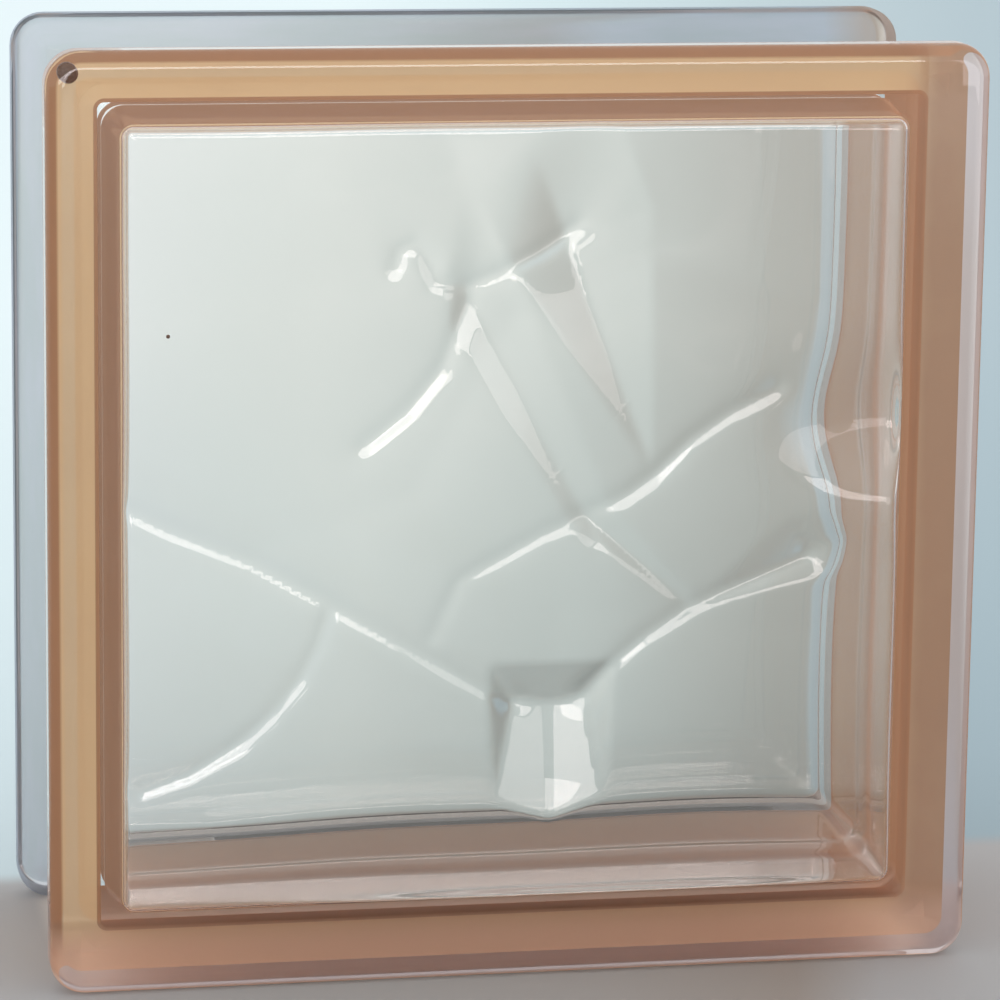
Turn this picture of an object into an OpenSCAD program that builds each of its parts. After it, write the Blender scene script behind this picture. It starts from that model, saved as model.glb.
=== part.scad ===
// Square hollow wall block of pressed glass.
// Two pressed half shells are fused face to face at the middle.
// Each half has a thick pane, four side walls and a flange round its face.
// The flanges of both halves leave a channel for mortar on all four sides.
// A wave pattern is pressed into the inner face of each pane.
// The block stands on the lower edges of its flanges. X runs to the right,
// Y runs to the rear and Z runs up. All sizes are in mm.

/* [Block] */
// Width and height of the square face
face_size = 190; // [188:1:198]
// Overall thickness from face to face
block_depth = 80; // [76:1:100]
// Corner radius of the faces, seen from the front
corner_radius = 7; // [7:0.5:8]

/* [Glass] */
// Thickness of each pane under the lowest part of the waves
pane_thickness = 9; // [8:0.5:11]
// Thickness of the side walls close to the seam
wall_thickness = 4; // [4:0.5:6]
// Narrowing of the hollow from the seam to the pane, on each side
mould_draft = 2.5; // [1:0.25:3]
// Radius between side wall and pane on the inside
inner_fillet = 2.5; // [2:0.5:4]
// Corner radius of the hollow at the pane
inner_corner_radius = 5; // [4.5:0.5:8]

/* [Flange] */
// Radius of the rounded edge round each face
edge_radius = 4; // [3:0.5:5]
// Width of the flat edge that the block stands on
land_width = 5; // [4:0.5:6]
// Depth of the mortar channel at the foot of the flange
channel_depth = 11; // [10:0.5:11.5]
// Rise of the channel floor from the flange to the seam
floor_taper = 2.5; // [1:0.25:3]
// Length of the sloped shoulder behind the flange
shoulder_run = 4; // [3:0.5:5]
// Radius at the top of the shoulder
shoulder_radius = 3.5; // [1:0.5:4]
// Radius between shoulder and channel floor
channel_fillet = 3; // [1:0.5:3]
// Corner radius of the channel floor
channel_corner_radius = 3; // [2.5:0.5:6]

/* [Seam] */
// Half width of the thickened band along the fused seam
seam_band = 7; // [4:0.5:8]
// Swelling of the seam into the hollow
inner_bead = 1; // [0.5:0.1:1.5]
// Swelling of the seam into the mortar channel
outer_bead = 0.6; // [0.4:0.1:1]

/* [Waves] */
// Height of the folds pressed into the front pane
front_fold_height = 0.5; // [0:0.1:2.6]
// Height of the folds pressed into the back pane
back_fold_height = 0.9; // [0:0.1:2.6]
// Distance over which a fold fades into the pane
fold_width = 16; // [8:1:20]
// Roundness of the ridge of a fold
fold_roundness = 1.6; // [0.5:0.1:4]
// Slope of the facets that rise above the middle of the front pane
facet_slope = 0.095; // [0.05:0.005:0.12]
// Slope of the ridge of the tongue below the middle of the front pane
tongue_fall = 0.055; // [0.03:0.005:0.08]
// Height of the broad swells between the folds
swell_height = 0.4; // [0:0.1:1]
// Length of the broad swells
swell_length = 95; // [60:5:160]
// Grid steps across the pane for the waves
wave_steps = 40; // [24:4:40]

/* [Hidden] */
$fn = 96;
half_depth = block_depth / 2;
half_size = face_size / 2;
flange_core = half_size - corner_radius;
land_start = half_depth - edge_radius - land_width;
flange_back = land_start - shoulder_run;
body_core = half_size - channel_depth - channel_corner_radius;
seam_half = half_size - channel_depth + floor_taper - wall_thickness;
pane_half = seam_half - mould_draft;
hollow_core = pane_half - inner_corner_radius;
pane_level = half_depth - pane_thickness;
fillet_level = pane_level - inner_fillet;
overrun = 1;
foot_gap = 0.2;
blend_power = 3;
corner_steps = 3;
straight_share = 1 - 2 * corner_steps / wave_steps;

// Folds of the front pane: start, end and strength, seen from the front
front_folds = [
    [[-84, 5], [-38, -17], 1],
    [[-38, -17], [0, -39], 1],
    [[-38, -17], [-44, -31], 0.9],
    [[-44, -31], [-56, -44], 0.9],
    [[-56, -44], [-84, -58], 0.9],
    [[0, -39], [6, -37], 0.9],
    [[6, -37], [14.4, -36.4], 0.9],
    [[14.4, -36.4], [36, -19.4], 1],
    [[36, -19.4], [60, -11], 1],
    [[14, 0], [-3, -9], 0.8],
    [[-3, -9], [-18, -22], 0.5],
    [[14, 0], [28, 8], 0.8],
    [[28, 8], [53, 24.5], 1],
    [[-11, 40], [-16, 30], 0.8],
    [[-16, 30], [-34, 12], 0.8],
    [[-24, 54], [-17, 51], 0.8],
    [[-17, 51], [-12, 46], 0.8],
    [[-12, 46], [6, 54], 0.8],
    [[6, 54], [12, 60], 0.8]
];

// Tongue of the front pane, seen from the front
tongue_x = 6;
tongue_half = 8.5;
tongue_foot = 12.5;
tongue_top = -35;
tongue_bottom = -74;
tongue_side = 0.07;
tongue_flank = 0.4;
tongue_end = 0.1;
tongue_rise = 0.25;

// Facets of the front pane: start and end of the right edge, width at both, skew of the end
facets = [
    [[28, 8], [9.5, 56], 0, 12.7, 0.45],
    [[36, -19.4], [14, 0], 0.5, 3.5, 0],
    [[14, 0], [-9, 43], 3.5, 7, 1.2],
    [[60, -9.5], [36, -19.4], 6, 0, 0]
];
facet_back = 0.08;
facet_fade = 0.09;

// Bumps at the right and lower edge of the front pane: place, reach and height
bumps = [
    [[78, 19], [18, 12], 2.6],
    [[15, -84], [70, 22], 2.5]
];
// Shallow dip between the right bump and the folds below it
dip = [[78, 0], [18, 8], 0.8];

// Folds of the back pane, seen from behind
back_folds = [
    [[-84, 30], [-40, 44], 0.8],
    [[-40, 44], [-8, 30], 0.8],
    [[-8, 30], [10, -6], 0.7],
    [[10, -6], [44, -20], 0.8],
    [[44, -20], [84, -14], 0.8],
    [[10, -6], [-22, -34], 0.7],
    [[-22, -34], [-84, -40], 0.7],
    [[-22, -34], [-14, -84], 0.7],
    [[44, -20], [56, -84], 0.7],
    [[-8, 30], [8, 84], 0.7]
];

// Distance from a point to a straight fold
function fold_distance(p, a, b) =
    let (ab = b - a)
    let (t = max(0, min(1, ((p - a) * ab) / (ab * ab))))
    norm(p - a - t * ab);

// Height of one fold: sharp on the ridge and soft towards the pane
function fold_shape(d) =
    exp(-(sqrt(d * d + fold_roundness * fold_roundness) - fold_roundness) / fold_width);

// Folds run into each other without doubling where they meet
function fold_sum(p, folds, i = 0) =
    i >= len(folds)
        ? 0
        : pow(folds[i][2] * fold_shape(fold_distance(p, folds[i][0], folds[i][1])), blend_power)
            + fold_sum(p, folds, i + 1);

function swell(p) =
    0.5 + 0.5 * sin(360 * (p.x + 0.4 * p.y) / swell_length) * cos(360 * (p.y - 0.3 * p.x) / swell_length);

// Hipped ridge that slopes down to the bottom of the pane
function tongue(p) =
    let (aside = abs(p.x - tongue_x))
    let (above = p.y - tongue_bottom)
    min(
        tongue_side * (tongue_half - aside) + tongue_fall * above,
        tongue_flank * (tongue_foot - aside),
        tongue_end * above,
        tongue_rise * (tongue_top - p.y)
    );

// Flat slope between two lines that run apart, highest along the right one
function facet(p, f) =
    let (length = norm(f[1] - f[0]))
    let (u = (f[1] - f[0]) / length)
    let (q = p - f[0])
    let (along = q * u)
    let (right = q.x * u.y - q.y * u.x)
    let (width = f[2] + (f[3] - f[2]) * max(0, min(1, along / length)))
    let (beyond = max(along - length - f[4] * right, 0) + max(-along, 0))
    facet_slope * (width + min(right, 0)) - facet_back * max(right, 0) - facet_fade * beyond;

function bump(p, b) =
    b[2] * exp(-pow((p.x - b[0].x) / b[1].x, 2) - pow((p.y - b[0].y) / b[1].y, 2));

function raised(p) =
    max(concat([0, tongue(p)], [for (f = facets) facet(p, f)], [for (b = bumps) bump(p, b)]))
    - bump(p, dip);

function wave_height(p, folds, height, extra) =
    height * pow(fold_sum(p, folds), 1 / blend_power)
    + swell_height * swell(p)
    + (extra ? raised(p) : 0);

// Point on a quarter of a rounded square, from one diagonal to the next
function side_point(s, half, radius) =
    let (a = abs(s))
    let (side = s < 0 ? -1 : 1)
    let (turn = 45 * max(0, a - straight_share) / (1 - straight_share))
    let (along = (half - radius) * min(1, a / straight_share) + radius * sin(turn))
    [half - radius + radius * cos(turn), side * along];

function turned(p, quarter) =
    quarter == 0 ? p
    : quarter == 1 ? [-p.y, p.x]
    : quarter == 2 ? [-p.x, -p.y]
    : [p.y, -p.x];

// Outline of the hollow at one level, as a ring of points
function ring_point(k, half, radius) =
    let (quarter = floor(k / wave_steps))
    let (s = -1 + 2 * (k - quarter * wave_steps) / wave_steps)
    turned(side_point(s, half, radius), quarter);

// Grid over the pane whose rim follows the rounded outline
function grid_point(i, j, half, radius) =
    let (u = -1 + 2 * i / wave_steps)
    let (v = -1 + 2 * j / wave_steps)
    let (t = max(abs(u), abs(v)))
    t == 0 ? [0, 0]
    : u == t ? t * side_point(v / t, half, radius)
    : v == t ? t * turned(side_point(-u / t, half, radius), 1)
    : u == -t ? t * turned(side_point(-v / t, half, radius), 2)
    : t * turned(side_point(u / t, half, radius), 3);

// Grid index that lies at one point of the rim ring
function rim_index(k) =
    let (quarter = floor(k / wave_steps))
    let (m = k - quarter * wave_steps)
    let (n = wave_steps)
    let (i = quarter == 0 ? n : quarter == 1 ? n - m : quarter == 2 ? 0 : m)
    let (j = quarter == 0 ? m : quarter == 1 ? n : quarter == 2 ? n - m : 0)
    i * (n + 1) + j;

// Half width of the hollow, narrower at the seam bead and towards the pane
function hollow_half(z) =
    seam_half - mould_draft * z / fillet_level
    - (z < seam_band ? inner_bead * (0.5 + 0.5 * cos(180 * z / seam_band)) : 0);

// Levels of the rings: half width, corner radius, height and share of waves
function ring_at(half, z, share) = [half, half - hollow_core, z, share];

function wall_ring(z) = ring_at(hollow_half(max(0, z)), z, 0);

function fillet_ring(turn) =
    ring_at(
        pane_half - inner_fillet * (1 - cos(turn)),
        fillet_level + inner_fillet * sin(turn),
        sin(turn) * sin(turn)
    );

rings = concat(
    [for (z = [-overrun, 0, seam_band * 0.3, seam_band * 0.6, seam_band]) wall_ring(z)],
    [for (turn = [0, 22.5, 45, 67.5]) fillet_ring(turn)]
);
rim_ring = fillet_ring(90);

module hollow(folds, height, extra) {
    n = wave_steps;
    count = 4 * n;
    last = len(rings);
    grid_start = last * count;
    ring_points = [
        for (r = rings)
            for (k = [0:count - 1])
                let (p = ring_point(k, r[0], r[1]))
                [p.x, p.y, r[2] - r[3] * wave_height(p, folds, height, extra)]
    ];
    grid_points = [
        for (i = [0:n])
            for (j = [0:n])
                let (p = grid_point(i, j, rim_ring[0], rim_ring[1]))
                [p.x, p.y, rim_ring[2] - wave_height(p, folds, height, extra)]
    ];
    function index(r, k) =
        r == last ? grid_start + rim_index(k % count) : r * count + k % count;
    bottom = [[for (k = [0:count - 1]) k]];
    bands = [
        for (r = [0:last - 1])
            for (k = [0:count - 1])
                for (f = [
                    [index(r, k), index(r + 1, k), index(r + 1, k + 1)],
                    [index(r, k), index(r + 1, k + 1), index(r, k + 1)]
                ])
                f
    ];
    top = [
        for (i = [0:n - 1])
            for (j = [0:n - 1])
                let (a = grid_start + i * (n + 1) + j)
                let (b = a + n + 1)
                for (f = (i + j) % 2 == 0
                    ? [[a, a + 1, b + 1], [a, b + 1, b]]
                    : [[a, a + 1, b], [b, a + 1, b + 1]])
                f
    ];
    polyhedron(points = concat(ring_points, grid_points), faces = concat(bottom, bands, top));
}

// Sliver between a sharp corner and its rounding
module rounding(p, d1, d2, radius) {
    half_turn = acos(d1 * d2) / 2;
    reach = radius / tan(half_turn);
    middle = (d1 + d2) / norm(d1 + d2);
    centre = p + middle * radius / sin(half_turn);
    difference() {
        polygon([p, p + d1 * reach, centre, p + d2 * reach]);
        translate(centre) circle(radius);
    }
}

// Section of the flange, from its corner centre outwards
module flange_section() {
    slope = [-corner_radius, -shoulder_run] / norm([corner_radius, shoulder_run]);
    land_end = [corner_radius, land_start];
    difference() {
        polygon([
            [0, flange_back],
            land_end,
            [corner_radius, half_depth],
            [0, half_depth]
        ]);
        rounding([corner_radius, half_depth], [-1, 0], [0, -1], edge_radius);
        rounding(land_end, [0, 1], slope, shoulder_radius);
    }
}

// Section of the body between the flanges, with its fillet and seam bead
module body_section() {
    r = channel_corner_radius;
    reach = channel_depth - corner_radius - foot_gap;
    fall = shoulder_run / corner_radius;
    foot = [r, flange_back - reach * fall];
    slope = [corner_radius, shoulder_run] / norm([corner_radius, shoulder_run]);
    seam_end = [r + floor_taper, 0];
    rise = outer_bead + floor_taper * seam_band / foot.y;
    bead_radius = (pow(seam_band, 2) + pow(rise, 2)) / (2 * rise);
    polygon([
        [0, 0],
        seam_end,
        foot,
        [r + reach + overrun, flange_back + overrun * fall],
        [r + reach + overrun, flange_back + 2 * overrun],
        [0, flange_back + 2 * overrun]
    ]);
    rounding(foot, (seam_end - foot) / norm(seam_end - foot), slope, channel_fillet);
    intersection() {
        translate([seam_end.x + outer_bead - bead_radius, 0]) circle(bead_radius);
        square([seam_end.x + outer_bead, foot.y]);
    }
}

// Carries a section round a square whose corner centres lie at the core
module round_square(core) {
    for (quarter = [0:3]) {
        rotate([0, 0, 90 * quarter]) {
            translate([core, core, 0])
                rotate([90, 0, 0])
                    linear_extrude(height = 2 * core)
                        children();
            translate([core, core, 0])
                rotate_extrude(angle = 90)
                    children();
        }
    }
}

module core_block(core, from, to) {
    translate([-core, -core, from])
        cube([2 * core, 2 * core, to - from]);
}

// Outside of one half, with its seam at z = 0 and its face upwards
module half_block() {
    core_block(flange_core, flange_back, half_depth);
    round_square(flange_core) flange_section();
    core_block(body_core, 0, flange_back + overrun);
    round_square(body_core) body_section();
}

module half_shell(folds, height, extra) {
    difference() {
        half_block();
        hollow(folds, height, extra);
    }
}

module front_shell() {
    color([0.86, 0.93, 0.9, 0.4])
        translate([0, 0, half_size])
            rotate([90, 0, 0])
                half_shell(front_folds, front_fold_height, true);
}

module back_shell() {
    color([0.84, 0.9, 0.89, 0.4])
        translate([0, 0, half_size])
            rotate([90, 0, 180])
                half_shell(back_folds, back_fold_height, false);
}

front_shell();
back_shell();
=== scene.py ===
# Glass block: two pressed halves fused together, with waves inside both panes
# and a thin bronze coat sprayed into the mortar channel.
import bpy
import math
import numpy as np
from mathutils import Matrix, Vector


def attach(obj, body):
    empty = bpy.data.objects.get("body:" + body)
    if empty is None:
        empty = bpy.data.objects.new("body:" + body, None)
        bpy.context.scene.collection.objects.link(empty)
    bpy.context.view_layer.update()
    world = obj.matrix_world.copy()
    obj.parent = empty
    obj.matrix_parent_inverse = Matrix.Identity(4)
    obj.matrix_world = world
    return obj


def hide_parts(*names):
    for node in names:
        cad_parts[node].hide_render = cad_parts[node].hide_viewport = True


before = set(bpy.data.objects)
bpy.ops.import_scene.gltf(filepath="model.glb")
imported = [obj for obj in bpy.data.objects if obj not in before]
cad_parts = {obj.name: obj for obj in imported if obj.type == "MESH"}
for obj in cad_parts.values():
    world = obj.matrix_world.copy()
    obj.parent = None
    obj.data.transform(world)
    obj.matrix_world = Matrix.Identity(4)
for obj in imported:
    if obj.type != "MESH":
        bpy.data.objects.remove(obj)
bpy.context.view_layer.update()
print("frame loaded:", sorted(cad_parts))
bpy.ops.object.select_all(action="DESELECT")

mm = 0.001
mergeReach = 1e-6  # points nearer than this, in metres, become one
pickReach = 1e-5  # slack when points are picked by their place


# Small helpers

def srgb(r, g, b, a=1.0):
    def linear(value):
        value /= 255
        return value / 12.92 if value <= 0.04045 else ((value + 0.055) / 1.055) ** 2.4
    return (linear(r), linear(g), linear(b), a)


def makeActive(obj):
    bpy.ops.object.select_all(action="DESELECT")
    bpy.context.view_layer.objects.active = obj
    obj.select_set(True)


def editMode():
    bpy.ops.object.mode_set(mode="EDIT")


def objectMode():
    bpy.ops.object.mode_set(mode="OBJECT")


def editAll(obj):
    makeActive(obj)
    editMode()
    bpy.ops.mesh.select_all(action="SELECT")


def selectVerts(obj, test):
    # selects the vertices that pass, and only the edges between them
    for face in obj.data.polygons:
        face.select = False
    for vert in obj.data.vertices:
        vert.select = test(vert.co)
    for edge in obj.data.edges:
        edge.select = all(obj.data.vertices[i].select for i in edge.vertices)


def joinInto(target, others):
    makeActive(target)
    for other in others:
        other.select_set(True)
    bpy.ops.object.join()
    return target


# Camera

camValues = {
    "place": (-183.6, -953.9, 290.9),
    "turn": (78.39, -0.71, -10.93),
    "lens": 171.25,
    "sensor": 36,
}

bpy.ops.object.camera_add(
    location=[c * mm for c in camValues["place"]],
    rotation=[math.radians(c) for c in camValues["turn"]],
)
camera = bpy.context.object
camera.name = "photoCamera"
camera.data.sensor_width = camValues["sensor"]
camera.data.lens = camValues["lens"]
camera.data.clip_start = 0.01
bpy.context.scene.camera = camera
print("camera set")

# Outside of the block: flange and body sections, each swept round the square

outsideValues = {
    "faceSize": 190,
    "blockDepth": 80,
    "cornerRadius": 7,
    "edgeRadius": 3.3,
    "landWidth": 5.7,
    "channelDepth": 11.25,
    "floorTaper": 2.5,
    "shoulderRun": 4,
    "shoulderRadius": 3.5,
    "channelFillet": 2.2,
    "channelCornerRadius": 1.3,
    "seamBand": 7,
    "outerBead": 0.6,
    "ringGap": 0.35,  # the corner ring at the foot of the flange
    "ringWidth": 0.45,
    "bodyStarts": (0.05, 0.45),
    "faceHold": 0.5,  # loops set beside the arcs keep the shading of flats even
    "landHolds": (0.4, 0.3),
    "slopeHold": 1.5,
    "bandHolds": (2, 0.4),
    "faceInset": 0.5,
    "arcSteps": 8,
    "bendSteps": 10,
    "cornerSteps": 10,
    "sideSteps": 10,
    "smoothAngle": 25,
}


def arcPoints(centre, radius, startDeg, endDeg, steps):
    sweep = endDeg - startDeg
    angles = [math.radians(startDeg + sweep * i / steps) for i in range(steps + 1)]
    return [(centre[0] + radius * math.cos(a), centre[1] + radius * math.sin(a)) for a in angles]


def roundedCorner(corner, before, after, radius, steps):
    # points of the arc that rounds a corner between two neighbours
    c, b, a = Vector(corner), Vector(before), Vector(after)
    d1 = (b - c).normalized()
    d2 = (a - c).normalized()
    half = d1.angle(d2) / 2
    reach = radius / math.tan(half)
    centre = c + (d1 + d2).normalized() * radius / math.sin(half)
    start, end = c + d1 * reach, c + d2 * reach
    a0 = math.atan2(start.y - centre.y, start.x - centre.x)
    a1 = math.atan2(end.y - centre.y, end.x - centre.x)
    turn = (a1 - a0 + math.pi) % (2 * math.pi) - math.pi
    angles = [a0 + turn * i / steps for i in range(steps + 1)]
    return [(centre.x + radius * math.cos(a), centre.y + radius * math.sin(a)) for a in angles]


def flangeSection(v):
    # u runs out from the corner centre, d is the distance from the seam
    half = v["blockDepth"] / 2
    cr = v["cornerRadius"]
    er = v["edgeRadius"]
    landStart = half - er - v["landWidth"]
    foot = (0, landStart - v["shoulderRun"])
    fall = v["shoulderRun"] / cr
    edge = v["ringGap"]
    hold = v["slopeHold"]
    shoulder = roundedCorner(
        (cr, landStart), (cr, half), foot, v["shoulderRadius"], v["bendSteps"]
    )
    points = [(cr - er - v["faceHold"], half)]
    points += arcPoints((cr - er, half - er), er, 90, 0, v["arcSteps"])
    points += [(cr, half - er - v["landHolds"][0])]
    points += [(cr, shoulder[0][1] + v["landHolds"][1])] + shoulder
    points += [(shoulder[-1][0] - hold, shoulder[-1][1] - hold * fall)]
    points += [(u, foot[1] + u * fall) for u in (edge + v["ringWidth"], edge)]
    return points


def bodySection(v):
    # the slope of the shoulder goes on and runs into the channel floor
    r = v["channelCornerRadius"]
    reach = v["channelDepth"] - v["cornerRadius"]
    fall = v["shoulderRun"] / v["cornerRadius"]
    back = v["blockDepth"] / 2 - v["edgeRadius"] - v["landWidth"] - v["shoulderRun"]
    band = v["seamBand"]
    foot = (r, back - reach * fall)
    seamR = r + v["floorTaper"]
    bandR = seamR - v["floorTaper"] * band / foot[1]
    rise = seamR + v["outerBead"] - bandR
    beadR = (band**2 + rise**2) / (2 * rise)
    spread = math.degrees(math.asin(band / beadR))
    holds = [band + hold for hold in v["bandHolds"]]
    points = [(r + reach - d, back - d * fall) for d in v["bodyStarts"]]
    points += roundedCorner(foot, points[0], (seamR, 0), v["channelFillet"], v["bendSteps"])
    points += [(seamR - v["floorTaper"] * d / foot[1], d) for d in holds]
    points += arcPoints((seamR + v["outerBead"] - beadR, 0), beadR, spread, 0, v["bendSteps"])
    return points


def drawSection(name, points):
    # a wire drawn point by point in edit mode
    bpy.ops.object.select_all(action="DESELECT")
    bpy.ops.mesh.primitive_plane_add(size=mm, location=points[0])
    wire = bpy.context.object
    wire.name = name
    bpy.ops.object.transform_apply(location=True, rotation=True, scale=True)
    editAll(wire)
    bpy.ops.mesh.merge(type="CENTER")
    for a, b in zip(points, points[1:]):
        step = Vector(b) - Vector(a)
        bpy.ops.mesh.extrude_region_move(TRANSFORM_OT_translate={"value": step})
    objectMode()
    return wire


def sweepRoundSquare(wire, coreHalf, middle, cornerSteps, sideSteps):
    # one side is extruded in steps, one corner spun, and the pair is repeated three times
    step = (0, 0, -2 * coreHalf / sideSteps)
    editAll(wire)
    for i in range(sideSteps):
        bpy.ops.mesh.extrude_region_move(TRANSFORM_OT_translate={"value": step})
    objectMode()
    selectVerts(wire, lambda c: c.z > middle + coreHalf - pickReach)
    editMode()
    bpy.ops.mesh.spin(
        steps=cornerSteps,
        angle=math.pi / 2,
        center=(coreHalf, 0, middle + coreHalf),
        axis=(0, 1, 0),
    )
    bpy.ops.mesh.select_all(action="SELECT")
    for i in range(3):
        bpy.ops.mesh.duplicate_move()
        bpy.ops.transform.rotate(
            value=math.pi / 2,
            orient_axis="Y",
            orient_type="GLOBAL",
            center_override=(0, 0, middle),
        )
    bpy.ops.mesh.select_all(action="SELECT")
    bpy.ops.mesh.remove_doubles(threshold=mergeReach)
    objectMode()


block = outsideValues
middle = block["faceSize"] / 2 * mm
flangeCore = (block["faceSize"] / 2 - block["cornerRadius"]) * mm
bodyCore = (block["faceSize"] / 2 - block["channelDepth"] - block["channelCornerRadius"]) * mm
sections = (
    ("flange", flangeCore, flangeSection(block)),
    ("body", bodyCore, bodySection(block)),
)
swept = []
for name, core, points in sections:
    wire = drawSection(name, [(core + u * mm, -d * mm, middle + core) for u, d in points])
    sweepRoundSquare(wire, core, middle, block["cornerSteps"], block["sideSteps"])
    swept.append(wire)
glass = joinInto(swept[0], [swept[1]])
glass.name = "fused_glass_block"

# the back of the flange is joined to the body by a narrow ring
flangeRear = block["edgeRadius"] + block["landWidth"] + block["shoulderRun"]
flangeBack = (block["blockDepth"] / 2 - flangeRear) * mm
slopeFall = block["shoulderRun"] / block["cornerRadius"]
ringLow = -block["bodyStarts"][0] * slopeFall * mm - pickReach
ringHigh = block["ringGap"] * slopeFall * mm + pickReach
selectVerts(glass, lambda c: ringLow < -c.y - flangeBack < ringHigh)
editMode()
bpy.ops.mesh.bridge_edge_loops()
objectMode()

# the face closes the front, and the back half is its mirror image
faceLevel = -block["blockDepth"] / 2 * mm + pickReach
rimStart = block["cornerRadius"] - block["edgeRadius"]
faceRim = flangeCore + (rimStart - 0.8 * block["faceHold"]) * mm  # just past the hold loop
selectVerts(glass, lambda c: c.y < faceLevel and max(abs(c.x), abs(c.z - middle)) < faceRim)
editMode()
bpy.ops.mesh.edge_face_add()
bpy.ops.mesh.inset(thickness=block["faceInset"] * mm)
objectMode()
bpy.ops.object.modifier_add(type="MIRROR")
mirror = glass.modifiers[-1]
mirror.use_axis = (False, True, False)
mirror.merge_threshold = mergeReach
bpy.ops.object.modifier_apply(modifier=mirror.name)
editAll(glass)
bpy.ops.mesh.remove_doubles(threshold=mergeReach)
bpy.ops.mesh.normals_make_consistent(inside=False)
objectMode()
print("outside made:", len(glass.data.polygons), "faces")

# Hollow of the block, with the waves pressed into both panes

hollowValues = {
    "paneThickness": 9,
    "channelDepth": 11,
    "wallThickness": 4,
    "draft": 2.5,
    "fillet": 2.5,
    "filletHold": 0.4,
    "cornerRadius": 2.8,
    "seamBand": 7,
    "bandHolds": (3, 0.4),
    "innerBead": 1,
    "paneSteps": 162,
    "wallSteps": 19,
    "filletSteps": 8,
    "straightShare": 0.85,
}

# places and sizes in mm from the middle of the pane, x to the right and z up
waveValues = {
    "frontHeight": 0.5,
    "backHeight": 0.9,
    "foldWidth": 16,
    "foldRoundness": 1.6,
    "blendPower": 3,
    "swellHeight": 0.4,
    "swellLength": 95,
    "swellLean": (0.4, 0.3),
    "tongueX": 7.6,
    "tongueHalf": 8.5,
    "tongueTop": -30.5,
    "tongueBottom": -74,
    "tongueSide": 0.07,
    "tongueProfile": [(0, 0), (8, 0.24), (19, 1.21), (60, 4.24)],  # above the end, height
    "tongueFlank": 0.45,
    "tongueFoot": 13,
    "tongueEnd": 0.1,
    "tongueRise": 0.33,
    "facetSlope": 0.115,
    "facetBack": 0.08,
    # start and end of the right line, width at each, lean of the end, soft run-out
    "facets": [
        ((28, 8), (9.5, 56), 0, 12.7, 0.45, 22),
        ((36, -19.4), (14, 0), 0.5, 3.5, 0, 3),
        ((14, 0), (-9, 43), 3.5, 7, 1.2, 12),
        ((60, -9.5), (36, -19.4), 6, 0, 0, 12),
    ],
    # place, reach in x and z, height
    "bumps": [(78, 19, 18, 12, 2.6), (15, -84, 70, 22, 2.5)],
    "dip": (78, 0, 18, 8, 0.8),
    "creaseHeight": 0.37,
    "creaseWidth": 1.2,
    "creaseRoundness": 0.7,
    # points of the line, and its strength
    "creases": [
        (
            ((-77.7, 3), (-70.5, -0.8), (-53.8, -7.8), (-37.9, -17.1), (-20.7, -27), (-0.2, -39.3)),
            1,
        ),
        (
            (
                (-37.9, -18.1), (-40.3, -25.3), (-44, -32.3), (-49.7, -39.4),
                (-56.2, -45.3), (-66.2, -51.1), (-76.2, -54.4),
            ),
            1.1,
        ),
        (((14.3, -37.1), (19.4, -31.6), (26.7, -25.6), (36, -19.6)), 1),
        (((36, -19.6), (47.5, -15.4), (60, -10.1)), 0.8),
        (
            ((13.9, -0.2), (4.7, -4), (-3.4, -8.5), (-11.6, -12.8), (-14, -17.9), (-17.3, -25.1)),
            0.8,
        ),
        (((15, 0.4), (22.1, 3.3), (28.3, 7.7), (35.4, 14.7), (43.6, 20.3), (53.6, 25)), 0.9),
        (
            (
                (-25.3, 50.6), (-24.3, 54.2), (-21.3, 55.7), (-18.9, 53.1), (-16.7, 48.1),
                (-11.3, 46.6), (-3.7, 49.7), (4.3, 53.8), (11.7, 58.9),
            ),
            0.8,
        ),
        (((-10.7, 44.4), (-12.7, 38.1), (-15.7, 30.5), (-22.7, 21.8), (-31.3, 15.1)), 0.8),
        (((36, -19.6), (25.4, -9.8), (14.5, -0.2)), 0.8),
    ],
    # start, end, strength
    "frontFolds": [
        ((-84, 5), (-38, -17), 1),
        ((-38, -17), (0, -39), 1),
        ((-38, -17), (-44, -31), 0.9),
        ((-44, -31), (-56, -44), 0.9),
        ((-56, -44), (-84, -58), 0.9),
        ((0, -39), (6, -37), 0.9),
        ((6, -37), (14.4, -36.4), 0.9),
        ((14.4, -36.4), (36, -19.4), 1),
        ((36, -19.4), (60, -11), 1),
        ((14, 0), (-3, -9), 0.8),
        ((-3, -9), (-18, -22), 0.5),
        ((14, 0), (28, 8), 0.8),
        ((28, 8), (53, 24.5), 1),
        ((-11, 40), (-16, 30), 0.8),
        ((-16, 30), (-34, 12), 0.8),
        ((-24, 54), (-17, 51), 0.8),
        ((-17, 51), (-12, 46), 0.8),
        ((-12, 46), (6, 54), 0.8),
        ((6, 54), (12, 60), 0.8),
    ],
    "backFolds": [
        ((-84, 30), (-40, 44), 0.8),
        ((-40, 44), (-8, 30), 0.8),
        ((-8, 30), (10, -6), 0.7),
        ((10, -6), (44, -20), 0.8),
        ((44, -20), (84, -14), 0.8),
        ((10, -6), (-22, -34), 0.7),
        ((-22, -34), (-84, -40), 0.7),
        ((-22, -34), (-14, -84), 0.7),
        ((44, -20), (56, -84), 0.7),
        ((-8, 30), (8, 84), 0.7),
    ],
}


def tongueHeight(x, z, w):
    # a hipped ridge that slopes down to the bottom of the pane
    aside = np.abs(x - w["tongueX"])
    above = z - w["tongueBottom"]
    fall = np.interp(above, *zip(*w["tongueProfile"]))
    sides = w["tongueSide"] * (w["tongueHalf"] - aside) + fall
    flanks = w["tongueFlank"] * (w["tongueFoot"] - aside)
    top = w["tongueRise"] * (w["tongueTop"] - z)
    return np.minimum(np.minimum(sides, flanks), np.minimum(w["tongueEnd"] * above, top))


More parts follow.
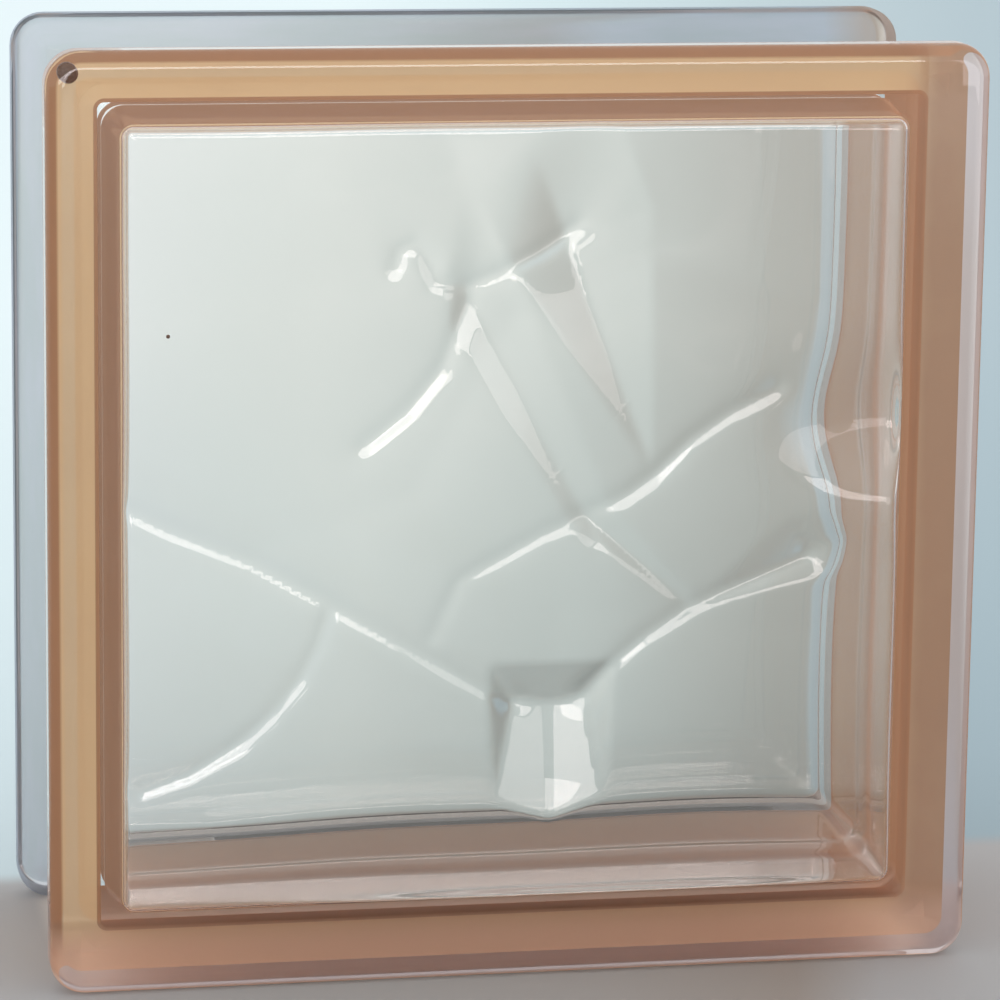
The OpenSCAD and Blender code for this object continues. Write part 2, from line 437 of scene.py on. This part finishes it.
def facetHeight(x, z, facet, w):
    # a flat slope between two lines that run apart, highest along the right one
    (ax, az), (tx, tz), startWidth, endWidth, lean, fade = facet
    length = math.hypot(tx - ax, tz - az)
    ux, uz = (tx - ax) / length, (tz - az) / length
    along = (x - ax) * ux + (z - az) * uz
    right = (x - ax) * uz - (z - az) * ux
    width = startWidth + (endWidth - startWidth) * np.clip(along / length, 0, 1)
    beyond = np.maximum(along - length - lean * right, 0) + np.maximum(-along, 0)
    t = np.clip(1 - beyond / fade, 0, 1)
    slope = w["facetSlope"] * (width + np.minimum(right, 0))
    raised = slope - w["facetBack"] * np.maximum(right, 0)
    return np.maximum(raised, 0) * t * t * (3 - 2 * t)


def bumpHeight(x, z, bump):
    bx, bz, reachX, reachZ, height = bump
    return height * np.exp(-(((x - bx) / reachX) ** 2) - ((z - bz) / reachZ) ** 2)


def ridgeShare(x, z, start, end, roundness, width):
    # 1 on the line between two points, less on both sides of it
    (ax, az), (bx, bz) = start, end
    dx, dz = bx - ax, bz - az
    t = np.clip(((x - ax) * dx + (z - az) * dz) / (dx * dx + dz * dz), 0, 1)
    d = np.hypot(x - ax - t * dx, z - az - t * dz)
    return np.exp(-(np.sqrt(d * d + roundness**2) - roundness) / width)


def creaseHeight(x, z, w):
    # thin raised lines that follow the creases of the pattern
    total = np.zeros_like(x)
    for points, strength in w["creases"]:
        for start, end in zip(points, points[1:]):
            line = ridgeShare(x, z, start, end, w["creaseRoundness"], w["creaseWidth"])
            total = np.maximum(total, strength * line)
    return w["creaseHeight"] * total


def reliefHeight(x, z, w):
    # tongue, facets and bumps, the highest of them at each place, with the dip and the creases
    raised = tongueHeight(x, z, w)
    for facet in w["facets"]:
        raised = np.maximum(raised, facetHeight(x, z, facet, w))
    for bump in w["bumps"]:
        raised = np.maximum(raised, bumpHeight(x, z, bump))
    return np.maximum(raised, 0) - bumpHeight(x, z, w["dip"]) + creaseHeight(x, z, w)


def waveHeight(x, z, folds, height, w):
    # folds run into each other without doubling, over broad low swells
    total = np.zeros_like(x)
    for start, end, strength in folds:
        ridge = ridgeShare(x, z, start, end, w["foldRoundness"], w["foldWidth"])
        total += (strength * ridge) ** w["blendPower"]
    turn = 2 * np.pi / w["swellLength"]
    leanX, leanZ = w["swellLean"]
    swell = 0.5 + 0.5 * np.sin(turn * (x + leanX * z)) * np.cos(turn * (z - leanZ * x))
    return height * total ** (1 / w["blendPower"]) + w["swellHeight"] * swell


def hollowRows(h, paneHalf, paneLevel, seamHalf):
    # half width, distance from the seam and share of the waves, row by row outside the pane
    filletLevel = paneLevel - h["fillet"]
    rows = [(paneHalf - h["fillet"], paneLevel, 1.0)]
    for i in range(1, h["filletSteps"] + 1):
        a = math.pi / 2 * (1 - i / h["filletSteps"])
        width = paneHalf - h["fillet"] * (1 - math.cos(a))
        rows.append((width, filletLevel + h["fillet"] * math.sin(a), math.sin(a) ** 2))
    levels = [filletLevel - h["filletHold"]] + [h["seamBand"] + hold for hold in h["bandHolds"]]
    beadRows = h["wallSteps"] - h["filletSteps"] - len(levels)
    levels += [h["seamBand"] * (1 - i / (beadRows - 1)) for i in range(beadRows)]
    for d in levels:
        share = 0.5 + 0.5 * math.cos(math.pi * d / h["seamBand"]) if d < h["seamBand"] else 0
        width = seamHalf - h["draft"] * d / filletLevel - h["innerBead"] * share
        rows.append((width, d, 0.0))
    return np.array(rows)


def hollowHalf(name, h, folds, height, back):
    # a grid whose outer rows become the fillet and the wall down to the seam
    o = outsideValues
    seamHalf = o["faceSize"] / 2 - h["channelDepth"] + o["floorTaper"] - h["wallThickness"]
    paneHalf = seamHalf - h["draft"]
    paneLevel = o["blockDepth"] / 2 - h["paneThickness"]
    centre = paneHalf - h["cornerRadius"]
    rows = hollowRows(h, paneHalf, paneLevel, seamHalf)
    steps = h["paneSteps"] + 2 * h["wallSteps"]
    bpy.ops.object.select_all(action="DESELECT")
    bpy.ops.mesh.primitive_grid_add(x_subdivisions=steps, y_subdivisions=steps, size=2)
    grid = bpy.context.object
    grid.name = name
    co = np.empty(len(grid.data.vertices) * 3)
    grid.data.vertices.foreach_get("co", co)
    co = co.reshape(-1, 3)
    gu, gv = co[:, 0], co[:, 1]
    horizontal = np.abs(gu) >= np.abs(gv)
    level = np.maximum(np.abs(gu), np.abs(gv))
    across = np.where(horizontal, gv, gu) / np.maximum(level, 1e-9)

    # each ring of the grid becomes a square with round corners
    ring = level * steps / 2
    paneRows = h["paneSteps"] / 2
    row = np.clip(np.rint(ring - paneRows).astype(int), 0, len(rows) - 1)
    scale = np.minimum(ring / paneRows, 1)
    size = rows[row, 0]
    radius = size - centre
    a = np.abs(across)
    s0 = h["straightShare"]
    turn = np.pi / 4 * np.maximum(0, a - s0) / (1 - s0)
    out = (size - radius + radius * np.cos(turn)) * scale
    along = (size - radius) * np.minimum(1, a / s0) + radius * np.sin(turn)
    along = along * np.sign(across) * scale
    x = np.where(horizontal, np.sign(gu) * out, along)
    z = np.where(horizontal, along, np.sign(gv) * out)

    wave = waveHeight(x, z, folds, height, waveValues)
    if not back:
        wave = wave + reliefHeight(x, z, waveValues)
    d = rows[row, 1] - rows[row, 2] * wave
    side = 1 if back else -1
    placed = np.stack([-side * x, side * d, z + o["faceSize"] / 2], axis=1) * mm
    grid.data.vertices.foreach_set("co", placed.ravel())
    grid.data.update()
    return grid


halves = (("frontHollow", "front", False), ("backHollow", "back", True))
hollow, backHollow = [
    hollowHalf(name, hollowValues, waveValues[side + "Folds"], waveValues[side + "Height"], back)
    for name, side, back in halves
]
joinInto(hollow, [backHollow])
editAll(hollow)
bpy.ops.mesh.remove_doubles(threshold=mergeReach)
bpy.ops.mesh.normals_make_consistent(inside=True)
objectMode()
print("hollow made:", len(hollow.data.polygons), "faces")

# Seeds in the glass: one at the upper left corner of the front flange, one small in the pane

seedValues = {
    "places": [((-90.4, -37.7, 185.6), 1.9), ((-71.15, -38.0, 133.8), 0.4)],  # centre, radius
    "segments": 32,
    "rings": 20,
}

seeds = []
for place, radius in seedValues["places"]:
    bpy.ops.object.select_all(action="DESELECT")
    bpy.ops.mesh.primitive_uv_sphere_add(
        segments=seedValues["segments"],
        ring_count=seedValues["rings"],
        radius=radius * mm,
        location=[c * mm for c in place],
    )
    seeds.append(bpy.context.object)
seed = joinInto(seeds[0], seeds[1:])
bpy.ops.object.transform_apply(location=True, rotation=True, scale=True)
editAll(seed)
bpy.ops.mesh.flip_normals()
objectMode()
print("seeds made:", len(seeds))


# Materials

def newMaterial(name):
    mat = bpy.data.materials.new(name)
    mat.use_nodes = True
    tree = mat.node_tree
    shader = tree.nodes["Principled BSDF"]
    return mat, tree, shader


def feed(tree, socket, value):
    # a number or a colour is set, an output is linked
    if isinstance(value, (int, float, tuple)):
        socket.default_value = value
    else:
        tree.links.new(value, socket)


def mathNode(tree, operation, a, b):
    node = tree.nodes.new("ShaderNodeMath")
    node.operation = operation
    feed(tree, node.inputs[0], a)
    feed(tree, node.inputs[1], b)
    return node.outputs["Value"]


def rampNode(tree, fac, stops):
    node = tree.nodes.new("ShaderNodeValToRGB")
    elements = node.color_ramp.elements
    while len(elements) < len(stops):
        elements.new(0.5)
    for element, (place, value) in zip(elements, stops):
        element.position = place
        element.color = value if isinstance(value, tuple) else (value, value, value, 1)
    feed(tree, node.inputs["Fac"], fac)
    return node.outputs["Color"]


def mixNode(tree, fac, a, b, blend="MIX"):
    node = tree.nodes.new("ShaderNodeMix")
    node.data_type = "RGBA"
    node.blend_type = blend
    for name, value in (("Factor", fac), ("A", a), ("B", b)):
        feed(tree, node.inputs[name], value)
    return node.outputs["Result"]


def noiseNode(tree, vector, scale, detail):
    node = tree.nodes.new("ShaderNodeTexNoise")
    for name, value in (("Vector", vector), ("Scale", scale), ("Detail", detail)):
        feed(tree, node.inputs[name], value)
    return node.outputs["Fac"]


def rangeNode(tree, value, fromMin, fromMax, toMin=0.0, toMax=1.0, kind="LINEAR"):
    node = tree.nodes.new("ShaderNodeMapRange")
    node.interpolation_type = kind
    ends = {"From Min": fromMin, "From Max": fromMax, "To Min": toMin, "To Max": toMax}
    for name, number in ends.items():
        node.inputs[name].default_value = number
    feed(tree, node.inputs["Value"], value)
    return node.outputs["Result"]


def objectPlace(tree):
    return tree.nodes.new("ShaderNodeTexCoord").outputs["Object"]


def splitNode(tree, vector):
    node = tree.nodes.new("ShaderNodeSeparateXYZ")
    feed(tree, node.inputs["Vector"], vector)
    return node.outputs


def makeGrainGroup():
    # fine relief of glass, coat, film and seeds, with the mask that it comes from
    group = bpy.data.node_groups.new("surfaceGrain", "ShaderNodeTree")
    sockets = group.interface
    sockets.new_socket("Vector", in_out="INPUT", socket_type="NodeSocketVector")
    for name in ("Scale", "Detail", "Strength", "Height"):
        sockets.new_socket(name, in_out="INPUT", socket_type="NodeSocketFloat")
    sockets.new_socket("Mask", in_out="OUTPUT", socket_type="NodeSocketFloat")
    sockets.new_socket("Normal", in_out="OUTPUT", socket_type="NodeSocketVector")
    given = group.nodes.new("NodeGroupInput").outputs
    result = group.nodes.new("NodeGroupOutput").inputs
    bump = group.nodes.new("ShaderNodeBump")
    mask = noiseNode(group, given["Vector"], given["Scale"], given["Detail"])
    feed(group, bump.inputs["Strength"], given["Strength"])
    feed(group, bump.inputs["Distance"], given["Height"])
    feed(group, bump.inputs["Height"], mask)
    feed(group, result["Mask"], mask)
    feed(group, result["Normal"], bump.outputs["Normal"])
    return group


surfaceGrain = makeGrainGroup()


def grainNode(tree, vector, values):
    node = tree.nodes.new("ShaderNodeGroup")
    node.node_tree = surfaceGrain
    feed(tree, node.inputs["Vector"], vector)
    for name, value in values.items():
        node.inputs[name].default_value = value
    return node.outputs


def addTranslucent(mat, shader, tint, share, normal):
    # the sprayed layer also glows with the light from its other side
    tree = mat.node_tree
    glow = tree.nodes.new("ShaderNodeBsdfTranslucent")
    mix = tree.nodes.new("ShaderNodeMixShader")
    tree.links.new(tint, glow.inputs["Color"])
    tree.links.new(normal, glow.inputs["Normal"])
    tree.links.new(share, mix.inputs["Fac"])
    tree.links.new(shader.outputs["BSDF"], mix.inputs[1])
    tree.links.new(glow.outputs["BSDF"], mix.inputs[2])
    tree.links.new(mix.outputs["Shader"], tree.nodes["Material Output"].inputs["Surface"])


# Pressed glass: faint cords of colour, a fire-polished skin and a little dust

glassValues = {
    "tint": srgb(250, 247, 244),
    "cord": srgb(248, 245, 242),
    "cordScale": 14,
    "cordDetail": 2,
    "cordRange": (0.35, 0.65),
    "dustScale": 90,
    "dustDetail": 5,
    "dustRange": (0.5, 0.75),
    "roughness": (0.0, 0.02),
    "ior": 1.52,
    "skin": {"Scale": 45, "Detail": 1, "Strength": 0.3, "Height": 0.00002},
}

look = glassValues
glassMat, tree, shader = newMaterial("pressedGlass")
vector = objectPlace(tree)
cords = noiseNode(tree, vector, look["cordScale"], look["cordDetail"])
dust = noiseNode(tree, vector, look["dustScale"], look["dustDetail"])
skin = grainNode(tree, vector, look["skin"])
tint = mixNode(tree, rangeNode(tree, cords, *look["cordRange"]), look["tint"], look["cord"])
feed(tree, shader.inputs["Base Color"], tint)
roughness = rangeNode(tree, dust, *look["dustRange"], *look["roughness"])
feed(tree, shader.inputs["Roughness"], roughness)
feed(tree, shader.inputs["Normal"], skin["Normal"])
shader.inputs["IOR"].default_value = look["ior"]
shader.inputs["Transmission Weight"].default_value = 1

# Coat sprayed on the channel: tan where light passes, brown where the glass over it reflects, with
# painted light and painted shade in its tints

coatValues = {
    # light and shade are lit and shaded copies of the coat colour: painted light and painted shade
    "light": srgb(246, 208, 164),
    "shade": srgb(206, 158, 126),
    # tints for slanting views from inside the glass: painted shade
    "lightGrazing": srgb(190, 138, 104),
    "shadeGrazing": srgb(218, 156, 116),
    # a brighter tint for the bottom of the channel: painted light
    "low": srgb(254, 204, 174),
    "turnAngle": (0.225, 0.265),
    "shadeX": (0.078, 0.087),
    "lowZ": (0.014, 0.006),
    "spotScale": 60,
    "spotDetail": 3,
    "spotRange": (0.3, 0.7),
    "spotShare": 0.35,
    "roughness": (0.3, 0.5),
    "grain": {"Scale": 900, "Detail": 3, "Strength": 0.5, "Height": 0.00004},
    "ior": 1.0,
    "transmission": 0.35,
    "glow": 0.5,
    "lowGlow": 0.0,
}

look = coatValues
coatMat, tree, shader = newMaterial("bronzeChannelCoat")
vector = objectPlace(tree)
xyz = splitNode(tree, vector)
# painted shade: the right side of the channel takes the shaded tint
shade = rangeNode(tree, xyz["X"], *look["shadeX"], kind="SMOOTHSTEP")
# painted light: the bottom of the channel takes a brighter tint, with no translucent glow
low = rangeNode(tree, xyz["Z"], *look["lowZ"], kind="SMOOTHSTEP")
spots = noiseNode(tree, vector, look["spotScale"], look["spotDetail"])
normal = grainNode(tree, vector, look["grain"])["Normal"]
patches = mathNode(tree, "MULTIPLY", mathNode(tree, "SUBTRACT", spots, 0.5), look["spotShare"])
# thickness is the painted shade of the right side plus random patches in the coat
thickness = mathNode(tree, "ADD", shade, patches)
tint = mixNode(tree, thickness, look["light"], look["shade"])
tintGrazing = mixNode(tree, thickness, look["lightGrazing"], look["shadeGrazing"])
# painted shade: seen from inside the glass at a slant, the coat takes the browner tints
facing = tree.nodes.new("ShaderNodeLayerWeight").outputs["Facing"]
inside = tree.nodes.new("ShaderNodeNewGeometry").outputs["Backfacing"]
grazing = mathNode(tree, "MULTIPLY", rangeNode(tree, facing, *look["turnAngle"]), inside)
tint = mixNode(tree, low, mixNode(tree, grazing, tint, tintGrazing), look["low"])
feed(tree, shader.inputs["Base Color"], tint)
roughness = rangeNode(tree, spots, *look["spotRange"], *look["roughness"])
feed(tree, shader.inputs["Roughness"], roughness)
feed(tree, shader.inputs["Normal"], normal)
shader.inputs["IOR"].default_value = look["ior"]
shader.inputs["Transmission Weight"].default_value = look["transmission"]
glow = rangeNode(tree, low, 0, 1, look["glow"], look["lowGlow"])
addTranslucent(coatMat, shader, tint, mathNode(tree, "MULTIPLY", inside, glow), normal)

# Milky film on the shoulders of both flanges, streaked along the back one

filmValues = {
    "front": srgb(240, 214, 212),
    "back": srgb(196, 202, 208),
    "backRight": srgb(206, 184, 172),
    "rightX": (0.078, 0.087),
    "frontY": (0.001, -0.001),
    "streak": srgb(206, 208, 220),
    "streakScale": 30,
    "streakDetail": 4,
    "streakRange": (0.4, 0.65),
    "stretch": (1, 12, 1),
    "sheenRange": (0.3, 0.7),
    "roughness": (0.35, 0.6),
    "grain": {"Scale": 500, "Detail": 3, "Strength": 0.5, "Height": 0.00003},
    "ior": 1.0,
    "transmission": 0.7,
    "glow": 0.2,
}

look = filmValues
filmMat, tree, shader = newMaterial("milkyFlangeFilm")
vector = objectPlace(tree)
xyz = splitNode(tree, vector)
stretched = tree.nodes.new("ShaderNodeMapping")
stretched.inputs["Scale"].default_value = look["stretch"]
feed(tree, stretched.inputs["Vector"], vector)
streaks = noiseNode(
    tree, stretched.outputs["Vector"], look["streakScale"], look["streakDetail"]
)
normal = grainNode(tree, vector, look["grain"])["Normal"]
tint = mixNode(tree, rangeNode(tree, streaks, *look["streakRange"]), look["back"], look["streak"])
tint = mixNode(tree, rangeNode(tree, xyz["X"], *look["rightX"]), tint, look["backRight"])
tint = mixNode(tree, rangeNode(tree, xyz["Y"], *look["frontY"]), tint, look["front"])
inside = tree.nodes.new("ShaderNodeNewGeometry").outputs["Backfacing"]
feed(tree, shader.inputs["Base Color"], tint)
roughness = rangeNode(tree, streaks, *look["sheenRange"], *look["roughness"])
feed(tree, shader.inputs["Roughness"], roughness)
feed(tree, shader.inputs["Normal"], normal)
shader.inputs["IOR"].default_value = look["ior"]
shader.inputs["Transmission Weight"].default_value = look["transmission"]
addTranslucent(filmMat, shader, tint, mathNode(tree, "MULTIPLY", inside, look["glow"]), normal)

# Seeds are air bubbles; their mottled brown surface is painted reflection of the coat and painted
# shade for the dark rim a bubble shows

seedLook = {
    "dark": srgb(96, 66, 50),
    "pale": srgb(150, 110, 84),
    "mottleRange": (0.3, 0.7),
    "roughness": (0.15, 0.4),
    "grain": {"Scale": 700, "Detail": 3, "Strength": 0.3, "Height": 0.00005},
}

look = seedLook
seedMat, tree, shader = newMaterial("seedPaintedCoatReflection")
mottle = grainNode(tree, objectPlace(tree), look["grain"])
tint = mixNode(tree, mottle["Mask"], look["dark"], look["pale"])
feed(tree, shader.inputs["Base Color"], tint)
roughness = rangeNode(tree, mottle["Mask"], *look["mottleRange"], *look["roughness"])
feed(tree, shader.inputs["Roughness"], roughness)
feed(tree, shader.inputs["Normal"], mottle["Normal"])

finishes = (glassMat, coatMat, seedMat, filmMat)
for obj in (glass, hollow, seed):
    obj.data.materials.clear()
    for finish in finishes:
        obj.data.materials.append(finish)
print("materials made:", [finish.name for finish in finishes])

# which finish lies where on the outside, by distance from the seam towards the back
zoneValues = {"shoulderStart": -33.3, "coatStart": -28.3, "coatEnd": 26, "backEnd": 38.6}

shoulderStart, coatStart, coatEnd, backEnd = [d * mm for d in zoneValues.values()]
for face in glass.data.polygons:
    y = face.center.y
    onCoat = coatStart < y < coatEnd
    onFilm = shoulderStart < y <= coatStart or coatEnd <= y < backEnd
    finish = coatMat if onCoat else filmMat if onFilm else glassMat
    face.material_index = finishes.index(finish)
for face in seed.data.polygons:
    face.material_index = finishes.index(seedMat)

glass = joinInto(glass, [hollow, seed])
bpy.ops.object.shade_smooth_by_angle(angle=math.radians(block["smoothAngle"]))

# the narrow rings round the flange backs are flat, so that corner normals don't bend them
ringValues = {"reach": 0.4, "outside": 80}

for face in glass.data.polygons:
    c = face.center
    atBack = abs(abs(c.y) - flangeBack) < ringValues["reach"] * mm
    if atBack and max(abs(c.x), abs(c.z - middle)) > ringValues["outside"] * mm:
        face.use_smooth = False
print("glass block:", sum(len(f.vertices) - 2 for f in glass.data.polygons), "triangles")

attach(glass, "root")
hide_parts("front_shell", "back_shell")

# Floor and lights

# distances in metres, across is the view's slope left or right of straight ahead
stageValues = {
    "floorSize": 8,
    "roughness": 0.7,
    "nearGrey": srgb(178, 173, 172),
    # painted light across the floor: bright to the left, dimmer to the right
    "paintedLightAcross": [
        (0.10, srgb(244, 253, 255)),
        (0.16, srgb(244, 254, 255)),
        (0.21, srgb(222, 237, 240)),
        (0.25, srgb(200, 214, 218)),
        (0.30, srgb(184, 199, 206)),
    ],
    # painted light: darker just past the edge, brighter farther back
    "paintedLightFar": [
        (0.0, (0.68, 0.72, 0.74, 1)),
        (0.12, (0.78, 0.82, 0.84, 1)),
        (0.35, (0.87, 0.9, 0.91, 1)),
        (0.8, 1.0),
    ],
    # painted warm shadow of the block, by the view's slope
    "paintedShadowStops": [
        (0.11, (1, 1, 1, 1)),
        (0.14, (0.97, 0.97, 0.95, 1)),
        (0.22, (0.95, 0.9, 0.85, 1)),
        (0.265, (0.84, 0.74, 0.66, 1)),
        (0.285, (1, 1, 1, 1)),
    ],
    "behindFade": [(0.7, 1.0), (0.95, 0.0)],
    "fadeScale": 0.5,
    # painted pool of light below the block
    "paintedPoolTint": srgb(250, 236, 222),
    "underX": 0.085,
    "underY": 0.03,
    "underSoft": 0.008,
    "edgeY": 0.046,
    "edgeSoftness": 0.012,
}

bpy.ops.object.select_all(action="DESELECT")
bpy.ops.mesh.primitive_plane_add(size=stageValues["floorSize"], location=(0, 0, 0))
floor = bpy.context.object
floor.name = "floor"

look = stageValues
floorMat, tree, shader = newMaterial("paleFloor")
xyz = splitNode(tree, objectPlace(tree))
sx = mathNode(tree, "SUBTRACT", xyz["X"], camValues["place"][0] * mm)
sy = mathNode(tree, "SUBTRACT", xyz["Y"], camValues["place"][1] * mm)
slope = mathNode(tree, "DIVIDE", sx, sy)

# near the camera the floor is plain grey, and past the edge it takes pale cyan colours with painted
# light, brighter to the left and farther back
across = rampNode(tree, slope, look["paintedLightAcross"])
farther = rampNode(tree, xyz["Y"], look["paintedLightFar"])
farColour = mixNode(tree, 1.0, across, farther, "MULTIPLY")
edges = [look["edgeY"] + part * look["edgeSoftness"] / 2 for part in (-1, 1)]
depth = rangeNode(tree, xyz["Y"], *edges, kind="SMOOTHSTEP")
floorColour = mixNode(tree, depth, look["nearGrey"], farColour)


def stripMask(tree, value, half, soft):
    distance = mathNode(tree, "ABSOLUTE", value, 0)
    return rangeNode(tree, distance, half + soft, half, kind="SMOOTHSTEP")


# painted pool of light on the floor below the block, where light falls through it
underX = stripMask(tree, xyz["X"], look["underX"], look["underSoft"])
underY = stripMask(tree, xyz["Y"], look["underY"], look["underSoft"])
under = mathNode(tree, "MULTIPLY", underX, underY)
floorColour = mixNode(tree, under, floorColour, look["paintedPoolTint"])

# painted warm shadow of the block on the floor behind it, fading out farther back
behind = rampNode(tree, slope, look["paintedShadowStops"])
fadeY = mathNode(tree, "MULTIPLY", xyz["Y"], look["fadeScale"])
nearer = rampNode(tree, fadeY, look["behindFade"])
tinted = mixNode(tree, 1.0, floorColour, behind, "MULTIPLY")
floorColour = mixNode(tree, nearer, floorColour, tinted)
feed(tree, shader.inputs["Base Color"], floorColour)
shader.inputs["Roughness"].default_value = look["roughness"]
floor.data.materials.append(floorMat)

# degrees right of the front, degrees up, then metres, and brightness
lightValues = {
    "strip": {"turn": -4.5, "rise": 4.5, "far": 1.6, "width": 1.35, "height": 0.2, "bright": 6},
    "lowCard": {"turn": -3, "rise": 1, "far": 1.6, "width": 0.2, "height": 0.22, "bright": 5},
    "card": {"turn": 27, "rise": 1.4, "far": 1.6, "width": 0.44, "height": 0.26, "bright": 2.6},
}
roomValues = {"light": (1, 0.93, 0.94), "world": srgb(240, 246, 248), "strength": 1.05}

for name, item in lightValues.items():
    turn, rise = math.radians(item["turn"]), math.radians(item["rise"])
    direction = Vector(
        (math.sin(turn) * math.cos(rise), -math.cos(turn) * math.cos(rise), math.sin(rise))
    )
    bpy.ops.object.light_add(
        type="AREA",
        location=Vector((0, 0, middle)) + direction * item["far"],
        rotation=direction.to_track_quat("Z", "Y").to_euler(),
    )
    lamp = bpy.context.object
    lamp.name = name
    lamp.data.shape = "RECTANGLE"
    lamp.data.color = roomValues["light"]
    lamp.data.size = item["width"]
    lamp.data.size_y = item["height"]
    lamp.data.energy = item["bright"] * math.pi * item["width"] * item["height"]

world = bpy.data.worlds.new("softRoom")
world.use_nodes = True
background = world.node_tree.nodes["Background"]
background.inputs["Color"].default_value = roomValues["world"]
background.inputs["Strength"].default_value = roomValues["strength"]
bpy.context.scene.world = world
bpy.context.scene.view_settings.view_transform = "Standard"
print("floor and lights set")
